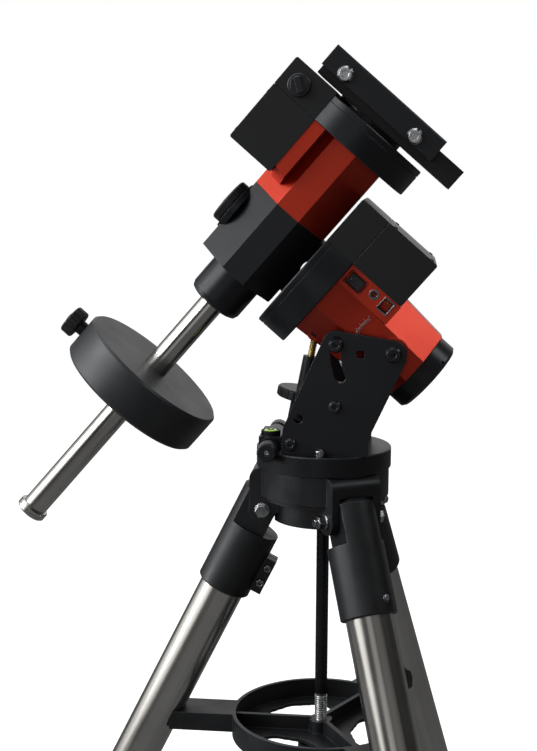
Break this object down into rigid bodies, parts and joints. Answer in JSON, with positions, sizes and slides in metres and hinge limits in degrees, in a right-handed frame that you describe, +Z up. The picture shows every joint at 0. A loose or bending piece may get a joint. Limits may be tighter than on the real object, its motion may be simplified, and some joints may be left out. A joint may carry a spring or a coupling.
{
  "type": "equatorial telescope mount on tripod",
  "caption": "Motorised German equatorial mount head with counterweight on a folding steel tripod, with a dovetail saddle for a telescope.",
  "frame": {"origin": "on the floor, at the centre of the box round the three feet, which set the outline of the whole object; the pier axis stands 112.7 mm from it along +X", "axes": "+Z up; -X towards the pole end of the polar axis and the first leg; Y along the altitude pivot"},
  "size_m": [0.7324, 0.8372, 1.2751],
  "materials": {
    "black_anodised": "satin anodised",
    "black_cast": "satin powder coat on cast aluminium",
    "black_plastic": "fine grain",
    "black_rod": "black oxide, bright thread",
    "weight_paint": "satin paint on steel",
    "red_anodised": "satin red anodised",
    "stainless": "polished and brushed",
    "bolt_steel": "bright",
    "shaft_steel": "ground",
    "brass": "bright",
    "vial_green": "clear tinted",
    "foot_rubber": "matt"
  },
  "bodies": {
    "tripod": {"tripod_head": "black_cast", "tripod_bolts": "bolt_steel", "centre_rod": "black_rod"},
    "spreader": {"spreader": "black_cast"},
    "spreader_knob": {"spreader_knob": "black_plastic"},
    "leg_1": {"leg_cap_1": "black_cast", "leg_tube_1": "stainless", "leg_collar_1": "black_cast"},
    "leg_lock_1": {"leg_lock_1": "black_plastic"},
    "lower_leg_1": {"lower_tube_1": "stainless", "foot_1": "foot_rubber"},
    "leg_2": {"leg_cap_2": "black_cast", "leg_tube_2": "stainless", "leg_collar_2": "black_cast"},
    "leg_lock_2": {"leg_lock_2": "black_plastic"},
    "lower_leg_2": {"lower_tube_2": "stainless", "foot_2": "foot_rubber"},
    "leg_3": {"leg_cap_3": "black_cast", "leg_tube_3": "stainless", "leg_collar_3": "black_cast"},
    "leg_lock_3": {"leg_lock_3": "black_plastic"},
    "lower_leg_3": {"lower_tube_3": "stainless", "foot_3": "foot_rubber"},
    "azimuth": {"azimuth_base": "black_anodised", "side_plates": "black_anodised", "plate_bolts": "black_rod", "azimuth_block": "black_anodised", "level_vial": "vial_green"},
    "azimuth_screw_front": {"azimuth_screw_front": "black_anodised"},
    "azimuth_screw_rear": {"azimuth_screw_rear": "black_anodised"},
    "altitude": {"ra_body": "red_anodised", "ra_gear_housing": "black_anodised", "ra_motor_cover": "black_plastic", "control_panel": "red_anodised", "altitude_bolts": "black_rod"},
    "jack": {"jack_yoke": "black_anodised"},
    "jack_wheel": {"jack_wheel": "black_anodised"},
    "jack_screw": {"jack_screw": "brass"},
    "power_switch": {"power_switch": "black_plastic"},
    "polar_cap": {"polar_cap": "black_anodised"},
    "ra_clutch_knob": {"ra_clutch_knob": "black_plastic"},
    "ra_worm": {"ra_worm": "shaft_steel"},
    "dec_unit": {"ra_shaft": "black_anodised", "ra_worm_wheel": "brass", "dec_body_lower": "black_anodised", "dec_body_upper": "red_anodised", "dec_gear_housing": "black_anodised", "dec_motor_cover": "black_plastic", "cw_shaft": "stainless"},
    "dec_clutch_knob": {"dec_clutch_knob": "black_plastic"},
    "dec_front_cap": {"dec_front_cap": "black_plastic"},
    "saddle": {"dec_shaft": "black_anodised", "dec_worm_wheel": "brass", "saddle": "black_anodised"},
    "dec_worm": {"dec_worm": "shaft_steel"},
    "saddle_jaw": {"saddle_jaw": "black_anodised", "saddle_screws": "bolt_steel"},
    "counterweight": {"counterweight": "weight_paint"},
    "cw_knob": {"cw_knob": "black_plastic"},
    "cw_end_cap": {"cw_end_cap": "stainless"}
  },
  "joints": [
    {"name": "leg_fold_1", "type": "hinge", "parent": "tripod", "child": "leg_1", "pos_m": [0.04775, 0, 0.781], "axis": [0, -1, 0], "range_deg": [0, 26.3]},
    {"name": "leg_lock_1_turn", "type": "hinge", "parent": "leg_1", "child": "leg_lock_1", "pos_m": [-0.29571, 0, 0.08606], "axis": [-0.8965, 0, 0.4431], "range_deg": [0, 360]},
    {"name": "leg_extend_1", "type": "slide", "parent": "leg_1", "child": "lower_leg_1", "axis": [-0.4431, 0, -0.8965], "range_m": [0, 0.3]},
    {"name": "leg_fold_2", "type": "hinge", "parent": "tripod", "child": "leg_2", "pos_m": [0.14525, -0.05629, 0.781], "axis": [0.866, 0.5, 0], "range_deg": [0, 26.3]},
    {"name": "leg_lock_2_turn", "type": "hinge", "parent": "leg_2", "child": "leg_lock_2", "pos_m": [0.31698, -0.35374, 0.08606], "axis": [0.4482, -0.7764, 0.4431], "range_deg": [0, 360]},
    {"name": "leg_extend_2", "type": "slide", "parent": "leg_2", "child": "lower_leg_2", "axis": [0.2215, -0.3837, -0.8965], "range_m": [0, 0.3]},
    {"name": "leg_fold_3", "type": "hinge", "parent": "tripod", "child": "leg_3", "pos_m": [0.14525, 0.05629, 0.781], "axis": [-0.866, 0.5, 0], "range_deg": [0, 26.3]},
    {"name": "leg_lock_3_turn", "type": "hinge", "parent": "leg_3", "child": "leg_lock_3", "pos_m": [0.31698, 0.35374, 0.08606], "axis": [0.4482, 0.7764, 0.4431], "range_deg": [0, 360]},
    {"name": "leg_extend_3", "type": "slide", "parent": "leg_3", "child": "lower_leg_3", "axis": [0.2215, 0.3837, -0.8965], "range_m": [0, 0.3]},
    {"name": "spreader_drop", "type": "slide", "parent": "tripod", "child": "spreader", "axis": [0, 0, -1], "range_m": [0, 0.9655]},
    {"name": "spreader_knob_turn", "type": "hinge", "parent": "spreader", "child": "spreader_knob", "pos_m": [0.11275, 0, 0.5], "axis": [0, 0, 1], "continuous": true},
    {"name": "azimuth", "type": "hinge", "parent": "tripod", "child": "azimuth", "pos_m": [0.11275, 0, 0.85], "axis": [0, 0, 1], "range_deg": [-8, 8]},
    {"name": "azimuth_screw_front_travel", "type": "slide", "parent": "azimuth", "child": "azimuth_screw_front", "axis": [0, 1, 0], "range_m": [-0.0082, 0.0082]},
    {"name": "azimuth_screw_rear_travel", "type": "slide", "parent": "azimuth", "child": "azimuth_screw_rear", "axis": [0, 1, 0], "range_m": [-0.0082, 0.0082]},
    {"name": "altitude", "type": "hinge", "parent": "azimuth", "child": "altitude", "pos_m": [0.18805, 0, 0.9595], "axis": [0, 1, 0], "range_deg": [-12, 3]},
    {"name": "jack_tilt", "type": "hinge", "parent": "azimuth", "child": "jack", "pos_m": [0.08095, 0, 0.8612], "axis": [0, 1, 0], "range_deg": [-0.24, 0.82]},
    {"name": "jack_extend", "type": "slide", "parent": "jack", "child": "jack_screw", "axis": [0.1873, 0, 0.9823], "range_m": [-0.01816, 0.00462]},
    {"name": "jack_wheel_turn", "type": "hinge", "parent": "jack", "child": "jack_wheel", "pos_m": [0.08095, 0, 0.8612], "axis": [0.1873, 0, 0.9823], "range_deg": [-3241, 811]},
    {"name": "power_switch_rock", "type": "hinge", "parent": "altitude", "child": "power_switch", "pos_m": [0.14735, -0.054, 1.03463], "axis": [0.6561, 0, 0.7547], "range_deg": [0, 16]},
    {"name": "polar_cap_pull", "type": "slide", "parent": "altitude", "child": "polar_cap", "axis": [0.7547, 0, -0.6561], "range_m": [0, 0.04]},
    {"name": "ra_clutch", "type": "hinge", "parent": "altitude", "child": "ra_clutch_knob", "pos_m": [0.16657, 0.062, 1.08417], "axis": [0, 1, 0], "range_deg": [0, 90]},
    {"name": "ra_axis", "type": "hinge", "parent": "altitude", "child": "dec_unit", "pos_m": [0.18805, 0, 0.9595], "axis": [-0.7547, 0, 0.6561], "continuous": true},
    {"name": "ra_worm_turn", "type": "hinge", "parent": "altitude", "child": "ra_worm", "pos_m": [0.14181, 0, 1.08953], "axis": [0, 1, 0], "continuous": true},
    {"name": "dec_clutch", "type": "hinge", "parent": "dec_unit", "child": "dec_clutch_knob", "pos_m": [0.08723, -0.062, 1.23449], "axis": [0, 1, 0], "range_deg": [0, 90]},
    {"name": "dec_front_cap_pull", "type": "slide", "parent": "dec_unit", "child": "dec_front_cap", "axis": [-0.7547, 0, 0.6561], "range_m": [0, 0.03]},
    {"name": "dec_axis", "type": "hinge", "parent": "dec_unit", "child": "saddle", "pos_m": [0.05175, 0, 1.07798], "axis": [0.6561, 0, 0.7547], "continuous": true},
    {"name": "dec_worm_turn", "type": "hinge", "parent": "dec_unit", "child": "dec_worm", "pos_m": [0.09308, 0, 1.22888], "axis": [0, 1, 0], "continuous": true},
    {"name": "saddle_jaw_open", "type": "slide", "parent": "saddle", "child": "saddle_jaw", "axis": [0, -1, 0], "range_m": [0, 0.008]},
    {"name": "counterweight_slide", "type": "slide", "parent": "dec_unit", "child": "counterweight", "axis": [-0.6561, 0, -0.7547], "range_m": [-0.03, 0.155]},
    {"name": "cw_knob_turn", "type": "hinge", "parent": "counterweight", "child": "cw_knob", "pos_m": [-0.15782, 0, 0.97409], "axis": [-0.7547, 0, 0.6561], "range_deg": [0, 360]},
    {"name": "cw_end_cap_pull", "type": "slide", "parent": "dec_unit", "child": "cw_end_cap", "axis": [-0.6561, 0, -0.7547], "range_m": [0, 0.03]}
  ],
  "couplings": [
    {"joint": "leg_fold_2", "follows": "leg_fold_1", "ratio": 1},
    {"joint": "leg_fold_3", "follows": "leg_fold_1", "ratio": 1},
    {"joint": "spreader_drop", "follows": "leg_fold_1", "m_per_rad": 2.1023},
    {"joint": "azimuth_screw_front_travel", "follows": "azimuth", "m_per_rad": 0.0565},
    {"joint": "azimuth_screw_rear_travel", "follows": "azimuth", "m_per_rad": 0.0565},
    {"joint": "jack_tilt", "follows": "altitude", "ratio": -0.064},
    {"joint": "jack_extend", "follows": "altitude", "m_per_rad": 0.08625},
    {"joint": "jack_wheel_turn", "follows": "altitude", "ratio": 270},
    {"joint": "ra_worm_turn", "follows": "ra_axis", "ratio": 180},
    {"joint": "dec_worm_turn", "follows": "dec_axis", "ratio": 180}
  ]
}
